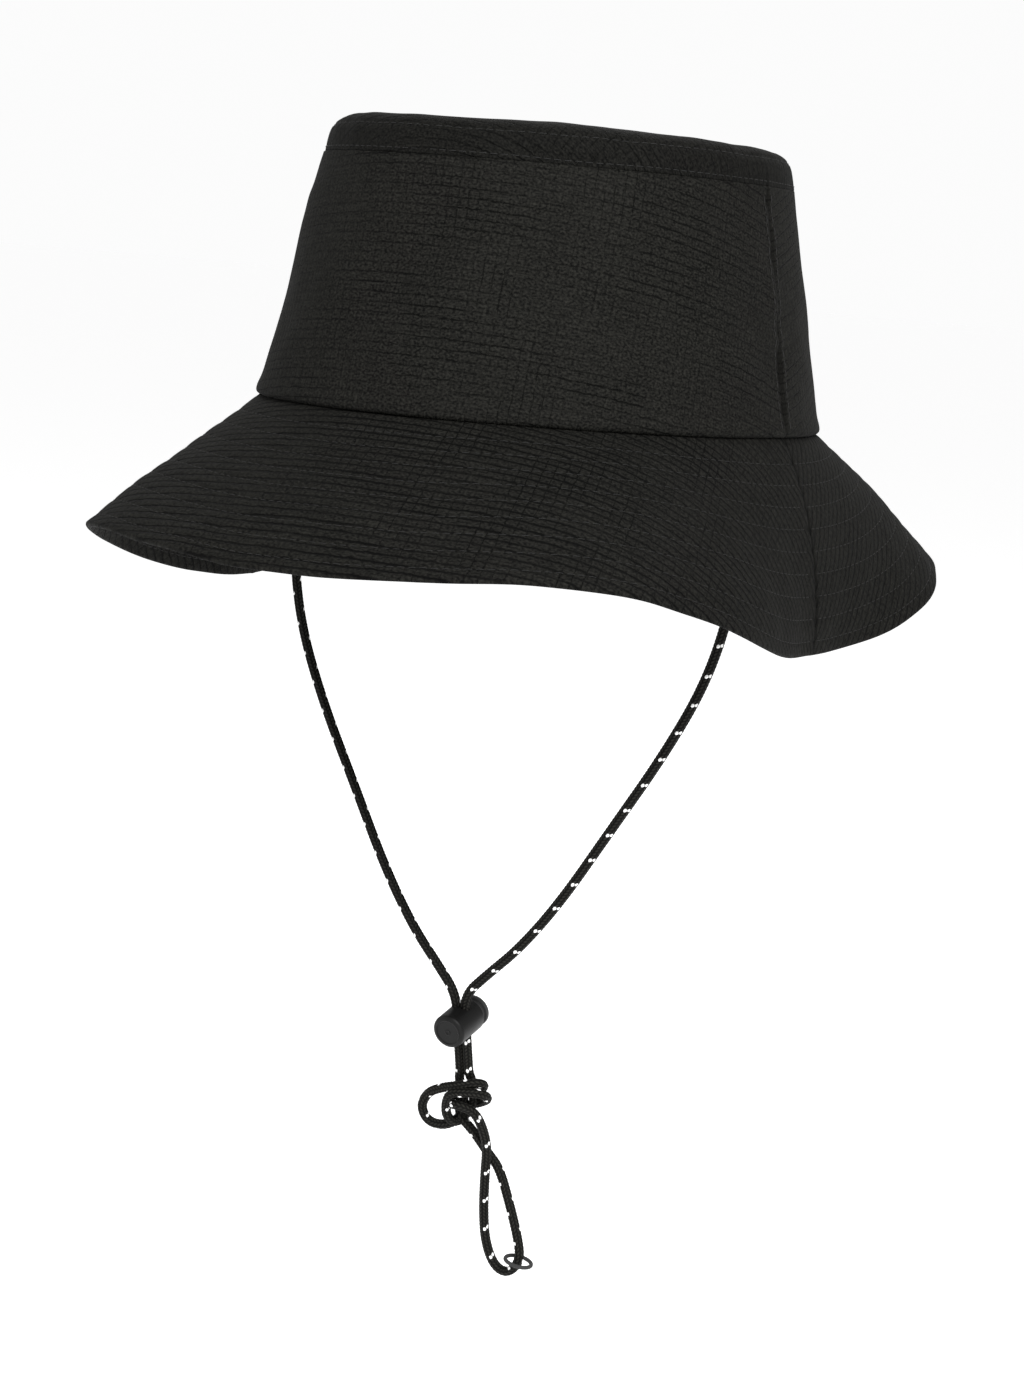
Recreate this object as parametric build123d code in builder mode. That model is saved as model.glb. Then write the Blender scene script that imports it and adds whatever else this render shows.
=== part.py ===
from build123d import *

import os
from math import cos, pi, radians, sin, sqrt, tan

# Bucket hat with a chin cord and a cord lock, in millimetres.
# The origin is the middle of the head opening, on the plane of the seam between crown and brim.
# +Z is up, -Y is the front of the hat and +X is the wearer's left.

# Crown: an oval wall that tapers up to the tip seam, and a shallow cap above it
HEAD_X, HEAD_Y = 84.0, 101.5  # half axes of the seam between brim and crown
OVERHANG = 1.5  # how far the foot of the crown stands out over that seam
TIP_X, TIP_Y = 71.5, 84.8  # half axes at the tip seam
SIDE_HEIGHT = 75.9  # brim seam to tip seam
TIP_WALL = 11.4  # tip seam to the level where wall and top would meet in a sharp corner
TIP_HEIGHT = 13.3  # tip seam to the middle of the top
TIP_CORNER = 8.5  # outside radius of the rounded corner
CLOTH = 1.0  # crown shell cloth with its lining

# Tapes and sweatband, as depths inside the crown's outside surface
AIR = 0.05  # slit between layers that are sewn together
TAPE = 0.5
TIP_TAPE_DROP, TIP_TAPE_RISE = 6.0, 3.0  # how far the tip tape reaches below and above its seam
SIDE_TAPE_WIDTH, SIDE_TAPE_BOTTOM, SIDE_TAPE_TOP = 9.0, 32.0, 69.0
BINDING_THICK, BINDING_HEIGHT = 0.8, 7.0
BAND_THICK, BAND_HEIGHT = 1.15, 31.0
BAND_DEPTH = CLOTH + AIR + BINDING_THICK + AIR  # outside face of the sweatband

# Brim: three layers, each in a front and a back half that meet at the side seams
BRIM_WIDTH = 67.5
BRIM_SHELF = 1.5  # how far the brim runs in under the crown, the binding and the sweatband
LAYER = 0.55
LAYER_STEP = LAYER + AIR
# Degrees below level: the mean, then what 1, 2 and 4 waves round the brim add
DROOP, DROOP_FRONT, DROOP_SIDES, DROOP_QUARTERS = 47.0, 3.0, -18.5, 8.0
DROOP_LEFT, DROOP_TWIST = 2.5, -2.0  # what 1 and 2 waves that start at the front add
CURL, CURL_SIDES, CURL_LEFT = 14.5, -6.5, 10.0  # degrees by which it steepens from seam to edge
BRIM_SECTIONS = 13  # cross sections in each half
BRIM_STATIONS = (0.045, 0.26, 0.5, 0.75, 1.0)  # shares of the width where a section is set out

# Chin cord
CORD = 3.0
PAIR = 1.55  # half the distance between the two strands where they run side by side
ANCHOR_Y = -15.0  # the cord is sewn in just in front of the side seams
CORD_LEAN = 0.0118  # how far the hanging cord drifts to the wearer's left, for each mm it falls
TAB_WIDTH, TAB_THICK, TAB_BOTTOM, TAB_TOP = 8.0, 1.1, -2.0, 9.0
TAB_DEPTH = BAND_DEPTH + BAND_THICK + 0.6

# Cord lock: its axis runs from the closed end in front to the button behind, tipped up a little
LOCK = Vector(2.3, -25.0, -195.5)
LOCK_TILT = 15.0
BARREL_R, BORE_R = 5.6, 4.5
BARREL_BACK, BARREL_MOUTH, BARREL_FLOOR = -9.0, 5.0, -7.6  # along the axis, from the cords' middle
STEM_R, STEM_END, CAP_R, CAP_START, CAP_END = 4.35, -3.1, 5.3, 7.2, 9.0
SLOT_WIDTH, SLOT_LENGTH = 6.6, 3.5
PRESS = 2.0  # the button's travel
SPRING_R, SPRING_WIRE, SPRING_TURNS = 3.2, 0.5, 3.5

# Knot and the loop that hangs from it
KNOT = Vector(4.0, -19.8, -223.0)
KNOT_R, KNOT_DEPTH, KNOT_HALF, KNOT_ROUND = 6.2, 4.8, 7.6, 3.2
KNOT_EYE, KNOT_EYE_R = Vector(-5.3, -20.4, -225.6), 5.9
RING = Vector(21.9, -9.2, -275.4)
RING_R, RING_WIRE = 4.35, 1.3
RING_LEAN = 11.0

lock_tilt = radians(LOCK_TILT)
LOCK_AXIS = Vector(0, cos(lock_tilt), sin(lock_tilt))
DOWN_CORDS = Vector(0, sin(lock_tilt), -cos(lock_tilt))
LOCK_PLANE = Plane(origin=LOCK, x_dir=(1, 0, 0), z_dir=LOCK_AXIS)
SLOT_PLANE = Plane(origin=LOCK, x_dir=(1, 0, 0), z_dir=DOWN_CORDS)


def wall_radii(height, depth):
    """Half axes of the oval that lies `depth` inside the crown's outside at a height."""
    share = height / SIDE_HEIGHT
    foot_x, foot_y = HEAD_X + OVERHANG, HEAD_Y + OVERHANG
    return (
        foot_x + (TIP_X - foot_x) * share - depth,
        foot_y + (TIP_Y - foot_y) * share - depth,
    )


def wall_x(height, depth, y):
    """How far out that oval is, on the wearer's left, at a distance y from front to back."""
    rx, ry = wall_radii(height, depth)
    return rx * sqrt(1 - (y / ry) ** 2)


STRAND_TOP = TAB_BOTTOM - CORD / 2
LOCK_ABOVE, LOCK_BELOW = 9.5, 22.5  # lengths of a strand's last run on each side of the lock's middle
# The rest of the wearer's left strand, before it drifts
STRAND = [
    (wall_x(STRAND_TOP, TAB_DEPTH + TAB_THICK / 2, ANCHOR_Y), ANCHOR_Y, STRAND_TOP),
    (81.2, -15.6, -25.0),
    (79.8, -17.2, -50.0),
    (74.4, -19.2, -75.0),
    (62.8, -21.2, -99.5),
    (46.9, -22.9, -126.2),
    (32.4, -24.6, -150.8),
    (19.8, -25.9, -167.8),
    (9.3, -26.8, -178.2),
]
END_LOOP = [
    (1.3, -18.2, -226.6),
    (3.4, -15.8, -233.5),
    (7.4, -11.6, -241.0),
    (12.4, -9.7, -245.7),
    (16.6, -9.4, -255.8),
    (20.6, -9.3, -266.2),
    (22.8, -9.2, -274.8),
    (18.3, -9.0, -280.5),
    (12.9, -9.2, -278.7),
    (9.4, -10.0, -270.7),
    (8.5, -11.2, -259.7),
    (9.1, -13.2, -247.5),
    (11.3, -15.0, -237.9),
    (8.7, -17.8, -229.2),
    (5.2, -19.8, -223.7),
]


def strand_route(side):
    """A strand's route from its tab down through the lock, 1 for the wearer's left and -1 for the right."""
    in_lock = LOCK + Vector(side * PAIR, 0, 0)
    route = [(side * x - CORD_LEAN * z, y, z) for x, y, z in STRAND]
    return [*route, tuple(in_lock - DOWN_CORDS * LOCK_ABOVE), tuple(in_lock + DOWN_CORDS * LOCK_BELOW)]


def corner_radii(points):
    """The radius at each corner of a route: as large as 0.45 of its shorter run allows."""
    spots = [Vector(*p) for p in points]
    radii = []
    for before, corner, after in zip(spots, spots[1:], spots[2:]):
        run_in, run_out = corner - before, after - corner
        turn = radians(run_in.get_angle(run_out))
        radii.append(0.45 * min(run_in.length, run_out.length) / tan(turn / 2))
    return radii


def cord_tube(points):
    """A round cord along straight runs that tangent arcs join."""
    radii = corner_radii(points)
    with BuildPart() as tube:
        with BuildLine() as route:
            FilletPolyline(*points, radius=radii)
        path = route.wire()
        with BuildSketch(Plane(origin=path @ 0, z_dir=path % 0)):
            Circle(CORD / 2)
        sweep(path=path)
    expected = path.length * pi * CORD**2 / 4
    print("cord", round(path.length, 1), "mm, radii", [round(r, 1) for r in radii])
    print("  volume", round(tube.part.volume, 1), "against", round(expected, 1))
    return tube


def wall_band(bottom, top, outer, inner):
    """A ring of the crown's wall between two heights and two depths."""
    with BuildPart() as band:
        for height in (bottom, top):
            with BuildSketch(Plane.XY.offset(height)):
                Ellipse(*wall_radii(height, outer))
        loft()
        for height in (bottom, top):
            with BuildSketch(Plane.XY.offset(height)):
                Ellipse(*wall_radii(height, inner))
        loft(mode=Mode.SUBTRACT)
    return band


def crown_panel(keep):
    """The front or the back half of the crown's wall, from one side seam to the other."""
    wall = wall_band(0, SIDE_HEIGHT, 0, CLOTH)
    with BuildPart() as panel:
        add(wall.part)
        split(bisect_by=Plane.XZ, keep=keep)
    return panel


def wall_patch(bottom, top, outer, inner, side, middle_y, width):
    """The piece of a wall band on one side of the hat, `width` wide from front to back."""
    band = wall_band(bottom, top, outer, inner)
    with BuildPart() as patch:
        add(band.part)
        with BuildSketch(Plane.XY.offset(bottom)):
            with Locations((side * HEAD_X, middle_y)):
                Rectangle(HEAD_X, width)
        extrude(amount=top - bottom, mode=Mode.INTERSECT)
    return patch


def tip_section(inset):
    """Half of the space under a skin that lies `inset` inside the tip's outside."""
    slope = (HEAD_Y + OVERHANG - TIP_Y) / SIDE_HEIGHT
    foot = (TIP_Y - inset, SIDE_HEIGHT)
    crest = (TIP_Y - inset - slope * (TIP_WALL - inset), SIDE_HEIGHT + TIP_WALL - inset)
    middle = (0, SIDE_HEIGHT + TIP_HEIGHT - inset)
    with BuildSketch(Plane.XZ) as section:
        with BuildLine():
            Polyline(middle, (0, SIDE_HEIGHT), foot, crest)
            TangentArc(middle, crest, tangent=(1, 0))
        make_face()
        corner = section.vertices().sort_by_distance((*crest, 0))[0]
        fillet(corner, radius=TIP_CORNER - inset)
    return section


def crown_tip():
    """The cap above the tip seam, turned round and then pressed to the crown's oval."""
    outside, inside = tip_section(0), tip_section(CLOTH)
    with BuildPart() as tip:
        add(outside.sketch)
        revolve(axis=Axis.Z)
        add(inside.sketch)
        revolve(axis=Axis.Z, mode=Mode.SUBTRACT)
        scale(by=(TIP_X / TIP_Y, 1, 1))
    return tip


def brim_angle(turn, share):
    """How steeply the brim falls, in radians, at a share of its width; turn is from the front."""
    droop = DROOP + DROOP_FRONT * cos(turn) + DROOP_LEFT * sin(turn) + DROOP_TWIST * sin(2 * turn)
    droop += DROOP_SIDES * cos(2 * turn) + DROOP_QUARTERS * cos(4 * turn)
    curl = CURL + CURL_SIDES * cos(2 * turn) + CURL_LEFT * sin(turn)
    return radians(droop + curl * (share - 0.5))


def brim_offset(turn, share, lift):
    """Outward and upward distance from the seam line, `lift` above the brim's middle surface."""
    start, here = brim_angle(turn, 0), brim_angle(turn, share)
    bend = (brim_angle(turn, 1) - start) / BRIM_WIDTH
    out = (sin(here) - sin(start)) / bend + lift * sin(here)
    fall = (cos(start) - cos(here)) / bend - lift * cos(here)
    return out, -BRIM_TOP - fall


def brim_plane(turn):
    """The upright plane across the brim at a turn from the front, square to the seam line."""
    normal = Vector(sin(turn) / HEAD_X, -cos(turn) / HEAD_Y, 0).normalized()
    place = Vector(HEAD_X * sin(turn), -HEAD_Y * cos(turn), 0)
    return Plane(origin=place, x_dir=normal, z_dir=normal.cross(Vector(0, 0, 1)))


# Depth of the brim's middle surface below the seam plane
BRIM_TOP = LAYER_STEP + LAYER / 2 + AIR


def brim_half(first, last, layer):
    """A half of one layer of the brim: 1 is the upper layer, 0 the stiffener and -1 the under one."""
    top = layer * LAYER_STEP + LAYER / 2
    bottom = top - LAYER
    with BuildPart() as half:
        for i in range(BRIM_SECTIONS):
            turn = radians(first + (last - first) * i / (BRIM_SECTIONS - 1))
            with BuildSketch(brim_plane(turn)):
                with BuildLine():
                    edges = []
                    for lift in (top, bottom):
                        inner = (-BRIM_SHELF, lift - BRIM_TOP)
                        knee = (0, lift - BRIM_TOP)
                        points = [brim_offset(turn, share, lift) for share in BRIM_STATIONS]
                        Line(inner, knee)
                        Spline(knee, *points)
                        edges.append((inner, points[-1]))
                    Line(edges[0][0], edges[1][0])
                    Line(edges[0][1], edges[1][1])
                make_face()
        loft()
    return half


def lock_barrel():
    """The lock's body: a closed cylinder with a bore, and a slot across it for both strands."""
    with BuildPart() as barrel:
        with BuildSketch(LOCK_PLANE.offset(BARREL_BACK)):
            Circle(BARREL_R)
        extrude(amount=BARREL_MOUTH - BARREL_BACK)
        rims = barrel.edges().filter_by(GeomType.CIRCLE).sort_by(Axis(LOCK, LOCK_AXIS))
        fillet(rims[0], radius=1.2)
        fillet(rims[-1], radius=0.3)
        with BuildSketch(LOCK_PLANE.offset(BARREL_FLOOR)):
            Circle(BORE_R)
        extrude(amount=BARREL_MOUTH - BARREL_FLOOR, mode=Mode.SUBTRACT)
        with BuildSketch(SLOT_PLANE):
            SlotOverall(SLOT_WIDTH, SLOT_LENGTH)
        extrude(amount=BARREL_R + 1, both=True, mode=Mode.SUBTRACT)
    return barrel


def lock_button():
    """The sprung button: a stem in the bore with its own slot, and a cap to press."""
    with BuildPart() as button:
        with BuildSketch(LOCK_PLANE.offset(STEM_END)):
            Circle(STEM_R)
        extrude(amount=CAP_START - STEM_END)
        with BuildSketch(LOCK_PLANE.offset(CAP_START)):
            Circle(CAP_R)
        extrude(amount=CAP_END - CAP_START)
        rim = button.edges().filter_by(GeomType.CIRCLE).sort_by(Axis(LOCK, LOCK_AXIS))[-1]
        fillet(rim, radius=0.7)
        with BuildSketch(SLOT_PLANE):
            with Locations((0, -PRESS / 2)):
                RectangleRounded(SLOT_WIDTH, SLOT_LENGTH + PRESS, 1.2)
        extrude(amount=STEM_R + 1, both=True, mode=Mode.SUBTRACT)
    return button


def lock_spring():
    """The coil between the barrel's floor and the button's stem."""
    start = BARREL_FLOOR + SPRING_WIRE
    length = STEM_END - SPRING_WIRE - start
    foot = LOCK + LOCK_AXIS * start
    with BuildPart() as spring:
        with BuildLine() as coil:
            Helix(length / SPRING_TURNS, length, SPRING_R, center=foot, direction=LOCK_AXIS)
        path = coil.wire()
        with BuildSketch(Plane(origin=path @ 0, z_dir=path % 0)):
            Circle(SPRING_WIRE / 2)
        sweep(path=path, is_frenet=True)
    return spring


def cord_knot():
    """The outer shape of the overhand knot in the doubled cord, with its open eye on one side."""
    with BuildPart() as knot:
        with BuildSketch(Plane(origin=KNOT - Vector(0, 0, KNOT_HALF))):
            Ellipse(KNOT_R, KNOT_DEPTH)
        extrude(amount=2 * KNOT_HALF)
        fillet(knot.edges(), radius=KNOT_ROUND)
        with BuildSketch(Plane(origin=KNOT_EYE + Vector(KNOT_EYE_R, 0, 0), z_dir=(0, 0, 1))):
            Circle(CORD / 2)
        revolve(axis=Axis(KNOT_EYE, (0, 1, 0)))
    return knot


def cord_ring():
    """The loose ring that is threaded on the end loop."""
    lean = radians(RING_LEAN)
    axis = Vector(sin(lean), 0, cos(lean))
    outward = Vector(cos(lean), 0, -sin(lean))
    with BuildPart() as ring:
        with BuildSketch(Plane(origin=RING + outward * RING_R, x_dir=outward, z_dir=(0, 1, 0))):
            Circle(RING_WIRE / 2)
        revolve(axis=Axis(RING, axis))
    return ring


tip_tape_outer = CLOTH + AIR
parts = {
    "crown_tip": crown_tip(),
    "crown_front_panel": crown_panel(Keep.TOP),
    "crown_back_panel": crown_panel(Keep.BOTTOM),
    "tip_seam_tape": wall_band(
        SIDE_HEIGHT - TIP_TAPE_DROP, SIDE_HEIGHT + TIP_TAPE_RISE, tip_tape_outer, tip_tape_outer + TAPE
    ),
    "head_seam_binding": wall_band(0, BINDING_HEIGHT, CLOTH + AIR, CLOTH + AIR + BINDING_THICK),
    "sweatband": wall_band(0, BAND_HEIGHT, BAND_DEPTH, BAND_DEPTH + BAND_THICK),
    "cord_knot": cord_knot(),
    "cord_end_loop": cord_tube(END_LOOP),
    "lock_barrel": lock_barrel(),
    "lock_button": lock_button(),
    "lock_spring": lock_spring(),
    "cord_ring": cord_ring(),
}
for layer, layer_name in ((1, "brim_upper"), (0, "brim_stiffener"), (-1, "brim_under")):
    parts[layer_name + "_front"] = brim_half(-90, 90, layer)
    parts[layer_name + "_back"] = brim_half(90, 270, layer)
for side, side_name in ((1, "left"), (-1, "right")):
    parts["side_seam_tape_" + side_name] = wall_patch(
        SIDE_TAPE_BOTTOM, SIDE_TAPE_TOP, tip_tape_outer, tip_tape_outer + TAPE, side, 0, SIDE_TAPE_WIDTH
    )
    parts["cord_tab_" + side_name] = wall_patch(
        TAB_BOTTOM, TAB_TOP, TAB_DEPTH, TAB_DEPTH + TAB_THICK, side, ANCHOR_Y, TAB_WIDTH
    )
    parts["cord_strand_" + side_name] = cord_tube(strand_route(side))

os.makedirs("parts", exist_ok=True)
for name, piece in parts.items():
    piece.part.label = name
    export_step(piece.part, "parts/" + name + ".step")
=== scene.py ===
"""A bucket hat of ripstop cloth, with a braided chin cord, a cord lock and a loose ring.

The cloth, its seams and stitches and the cord are built here, in metres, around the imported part.
"""

import logging
import math
from collections.abc import Callable
from dataclasses import dataclass, field
from enum import Enum
from itertools import product

import bmesh
import bpy
import numpy as np
from mathutils import Matrix, Vector

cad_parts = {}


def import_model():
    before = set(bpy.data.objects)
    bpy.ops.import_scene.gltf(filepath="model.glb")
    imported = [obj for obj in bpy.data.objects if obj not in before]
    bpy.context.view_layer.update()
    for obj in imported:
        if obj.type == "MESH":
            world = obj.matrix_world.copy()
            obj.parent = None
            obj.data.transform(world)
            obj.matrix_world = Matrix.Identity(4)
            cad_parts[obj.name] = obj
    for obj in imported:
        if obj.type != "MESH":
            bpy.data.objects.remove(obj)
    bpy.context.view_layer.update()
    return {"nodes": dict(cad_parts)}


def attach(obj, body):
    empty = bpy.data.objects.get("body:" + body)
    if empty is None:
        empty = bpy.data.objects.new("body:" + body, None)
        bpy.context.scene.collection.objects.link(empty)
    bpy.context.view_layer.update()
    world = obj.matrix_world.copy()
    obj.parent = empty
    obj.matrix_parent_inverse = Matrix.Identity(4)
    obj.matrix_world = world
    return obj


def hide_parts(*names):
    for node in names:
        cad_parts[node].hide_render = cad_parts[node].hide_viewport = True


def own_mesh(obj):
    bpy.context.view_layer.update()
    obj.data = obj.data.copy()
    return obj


LOG = logging.getLogger("bucket_hat")
MM = 0.001
FULL_TURN = 2 * math.pi
Points = np.ndarray


# ---------------------------------------------------------------- shader arithmetic


def operator(operation: str, swapped: bool = False) -> Callable[["Wire", object], "Wire"]:
    """Makes one of Python's operators out of a Math node's operation.

    Args:
        operation: the Math node's operation.
        swapped: whether the other value comes first.

    Returns:
        The method.
    """

    def apply(self: "Wire", other: object) -> "Wire":
        """The result for this value and the other."""
        return self.math(operation, *((other, self) if swapped else (self, other)))

    return apply


class Wire:
    """A value inside a material: one output socket, with Python's operators on it."""

    def __init__(self, bench: "Bench", socket: bpy.types.NodeSocket) -> None:
        """Wraps an output socket of a node on that bench."""
        self.bench = bench
        self.socket = socket

    def math(self, operation: str, *values: object) -> "Wire":
        """Adds a Math node.

        Args:
            operation: the Math node's operation.
            values: its inputs, in order, as wires or numbers.

        Returns:
            The node's result.
        """
        return self.bench.node("Math", {"operation": operation}, dict(enumerate(values)))

    __add__ = operator("ADD")
    __radd__ = operator("ADD", swapped=True)
    __sub__ = operator("SUBTRACT")
    __rsub__ = operator("SUBTRACT", swapped=True)
    __mul__ = operator("MULTIPLY")
    __rmul__ = operator("MULTIPLY", swapped=True)
    __truediv__ = operator("DIVIDE")
    larger = operator("MAXIMUM")

    def to_whole(self) -> "Wire":
        """How far the value is from the nearest whole number, 0 to 0.5."""
        return self.math("PINGPONG", self, 0.5)

    def ramp(self, start: float, end: float, low: float = 0.0, high: float = 1.0) -> "Wire":
        """Goes smoothly from low to high while this value goes from start to end.

        Args:
            start: the value at which the result is low.
            end: the value at which the result is high.
            low: the result before start.
            high: the result after end.

        Returns:
            The smooth step.
        """
        settings = {"interpolation_type": "SMOOTHSTEP"}
        inputs = {"Value": self, 1: start, 2: end, 3: low, 4: high}
        return self.bench.node("MapRange", settings, inputs)


class Bench:
    """A material being made: it adds nodes and joins them up."""

    def __init__(self, name: str) -> None:
        """Starts a material with a Principled shader."""
        self.material = bpy.data.materials.new(name)
        self.material.use_nodes = True
        self.tree = self.material.node_tree
        self.shader = self.tree.nodes["Principled BSDF"]

    def node(self, kind: str, settings: dict, inputs: dict, output: object = 0) -> Wire:
        """Adds one node.

        Args:
            kind: the node's type, without its ShaderNode prefix.
            settings: the node's own properties, which are set first.
            inputs: wires or plain values by socket name or number.
            output: the name or number of the socket to carry on from.

        Returns:
            The wire from that output.
        """
        made = self.tree.nodes.new("ShaderNode" + kind)
        for key, value in settings.items():
            setattr(made, key, value)
        for key, value in inputs.items():
            self.feed(made.inputs[key], value)
        return Wire(self, made.outputs[output])

    def feed(self, socket: bpy.types.NodeSocket, value: object) -> None:
        """Links a wire to a socket, or sets the socket to a plain value."""
        if isinstance(value, Wire):
            self.tree.links.new(value.socket, socket)
        else:
            socket.default_value = value

    def attribute(self, name: str, output: str = "Vector") -> Wire:
        """An attribute that the piece's mesh carries."""
        return self.node("Attribute", {"attribute_name": name}, {}, output)

    def split(self, vector: Wire) -> tuple[Wire, Wire, Wire]:
        """The three parts of a vector."""
        first = self.node("SeparateXYZ", {}, {"Vector": vector})
        return tuple(Wire(self, output) for output in first.socket.node.outputs)

    def join(self, *parts: object) -> Wire:
        """A vector from three values."""
        return self.node("CombineXYZ", {}, dict(enumerate(parts)), "Vector")

    def place(self) -> Wire:
        """The place on the piece, in metres."""
        return self.node("TexCoord", {}, {}, "Object")

    def noise(self, vector: Wire, scale: float, detail: float = 2.0) -> Wire:
        """Smooth noise about 0.5."""
        return self.node("TexNoise", {}, {"Vector": vector, "Scale": scale, "Detail": detail})

    def grain(self, vector: Wire, scale: float, detail: float = 2.0) -> Wire:
        """Smooth noise about 0."""
        return self.noise(vector, scale, detail) - 0.5

    def shaded(self, shade: Wire, warmth: float) -> Wire:
        """A grey as light as the shade, with a little warmth."""
        inputs = {0: grey(1.0, warmth)[:3], "Scale": shade}
        return self.node("VectorMath", {"operation": "SCALE"}, inputs)

    def blend(self, share: Wire, first: object, second: object) -> Wire:
        """A colour between two colours."""
        mixed = self.tree.nodes.new("ShaderNodeMix")
        mixed.data_type = "RGBA"
        for key, value in (("Factor_Float", share), ("A_Color", first), ("B_Color", second)):
            self.feed(next(s for s in mixed.inputs if s.identifier == key), value)
        return Wire(self, next(s for s in mixed.outputs if s.identifier == "Result_Color"))

    def bump(self, height: Wire, distance: float) -> Wire:
        """A normal from a height, which is 1 at that distance above 0."""
        values = {"Height": height, "Distance": distance, "Strength": 1.0}
        return self.node("Bump", {}, values, "Normal")

    def finish(self, **sockets: object) -> bpy.types.Material:
        """Sets the Principled shader's sockets.

        Args:
            sockets: values or wires by socket name, with _ for a space.

        Returns:
            The finished material.
        """
        for key, value in sockets.items():
            self.feed(self.shader.inputs[key.replace("_", " ")], value)
        return self.material


def grey(level: float, warmth: float = 0.0) -> tuple[float, float, float, float]:
    """A near-black or grey colour, a little yellower with warmth."""
    return (level * (1 + 0.3 * warmth), level, level * (1 - 2 * warmth), 1.0)


# ---------------------------------------------------------------- finishes


@dataclass(frozen=True)
class RipstopCloth:
    """Matt ripstop cloth: a grid of sunk lines, with slightly puffed squares between them; the
    lines' near-black colour is painted shade.

    The mesh carries "weave", the cloth's own flat coordinates in metres.
    """

    name: str
    tint: float = 0.0069
    # near-black colour of the sunk lines: painted shade in the grooves
    groove_shade_tint: float = 0.0009
    warmth: float = 0.07
    pitch: float = 3.0 * MM
    across_width: float = 0.13
    along_width: float = 0.085
    across_least: float = 0.45
    along_least: float = 0.35
    broken: float = 0.35
    patch_size: float = 22 * MM
    speckle: float = 5.2
    # strength of light and dark streaks along the weft: painted light and shade of crinkles, also
    # used in the bump
    crinkle_relief_and_shade: float = 1.0
    darkest: float = 0.12
    sunk: float = 0.22 * MM

    def material(self) -> bpy.types.Material:
        """Builds the cloth's material."""
        bench = Bench(self.name)
        weave = bench.attribute("weave")
        along, across, _ = bench.split(weave)
        lines = self.lines(bench, weave, along, across)
        speckles = bench.grain(bench.join(along, across * 1.3, 0.0), 1150.0)
        cloud = bench.grain(weave, 60.0)
        # light and dark streaks along the weft: painted light and shade of the cloth's crinkles,
        # and a little bump
        strokes = bench.grain(bench.join(along * 0.22, across, 0.0), 800.0)
        shade = 1.0 + speckles * self.speckle + cloud * 0.5 + strokes * self.crinkle_relief_and_shade
        cloth = bench.shaded(shade.larger(self.darkest) * self.tint, self.warmth)
        puff = (across / self.pitch).to_whole() * (along / self.pitch).to_whole() * 4.0
        relief = puff * 0.35 + speckles * 0.45 + strokes * self.crinkle_relief_and_shade * 0.3
        return bench.finish(
            # base colour darkened on the sunk lines: painted shade
            Base_Color=bench.blend(lines, cloth, grey(self.groove_shade_tint, self.warmth)),
            Roughness=0.78 + speckles * 0.2,
            Specular_IOR_Level=0.06,
            Normal=bench.bump(1.0 - lines + relief, self.sunk),
        )

    def lines(self, bench: Bench, weave: Wire, along: Wire, across: Wire) -> Wire:
        """The grid's sunk lines, which wander a little, fade in patches and break off; the colour
        is darkened on them as painted shade.

        Args:
            bench: the material being made.
            weave: the cloth's coordinates.
            along: their part along the weft.
            across: their part along the warp.

        Returns:
            0 between the lines, to 1 on them.
        """
        wander = bench.grain(weave, 260.0, 1.0) * (0.9 * MM)
        shiver = bench.grain(weave, 900.0, 1.0) * (0.55 * MM)
        flat_patch = bench.noise(bench.join(along * 0.35, across, 0.0), 1 / self.patch_size, 3.0)
        tall_patch = bench.noise(bench.join(along, across * 0.5, 0.0), 0.8 / self.patch_size, 3.0)
        families = (
            (across, self.across_width, flat_patch.ramp(0.40, 0.62, self.across_least, 1.2)),
            (along, self.along_width, tall_patch.ramp(0.40, 0.66, self.along_least, 0.9)),
        )
        level, plumb = (
            ((part + wander + shiver) / self.pitch).to_whole().ramp(width, 0.0) * patch
            for part, width, patch in families
        )
        gaps = bench.noise(weave, 380.0).ramp(0.36, 0.56, self.broken, 1.0)
        return level.larger(plumb) * gaps


@dataclass(frozen=True)
class PlainWeave:
    """A close plain weave for tapes, webbing, the sweatband and the stiffener."""

    name: str
    tint: float
    pitch: float = 0.9 * MM
    # how strongly the colour follows the threads' relief: painted shade
    thread_shade_depth: float = 0.5
    ribbed: bool = False

    def material(self) -> bpy.types.Material:
        """Builds the weave's material."""
        bench = Bench(self.name)
        weave = bench.attribute("weave")
        along, across, _ = bench.split(weave)
        warp = (along / self.pitch).to_whole() * 2.0
        weft = (across / (self.pitch * (2.2 if self.ribbed else 1.0))).to_whole() * 2.0
        grain = bench.grain(weave, 1300.0)
        height = warp * (0.35 if self.ribbed else 0.6) + weft * 0.6
        # lighter on the threads and darker between them: painted light and shade, with random grain
        shade = (1.0 - self.thread_shade_depth * 0.5) + height * self.thread_shade_depth * 0.5 + grain * 0.5
        return bench.finish(
            Base_Color=bench.shaded(shade * self.tint, 0.01),
            Roughness=0.82 + grain * 0.2,
            Specular_IOR_Level=0.25,
            Sheen_Weight=0.08,
            Normal=bench.bump(height + grain * 0.4, 0.12 * MM),
        )


@dataclass(frozen=True)
class SewingThread:
    """Twisted polyester thread."""

    name: str = "sewing_thread"
    tint: float = 0.015

    def material(self) -> bpy.types.Material:
        """Builds the thread's material."""
        bench = Bench(self.name)
        ply = bench.noise(bench.place(), 2600.0)
        return bench.finish(
            Base_Color=bench.shaded(self.tint * (0.6 + ply * 0.8), 0.01),
            Roughness=0.6 + ply * 0.2,
            Specular_IOR_Level=0.15,
            Normal=bench.bump(ply, 0.05 * MM),
        )


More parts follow.
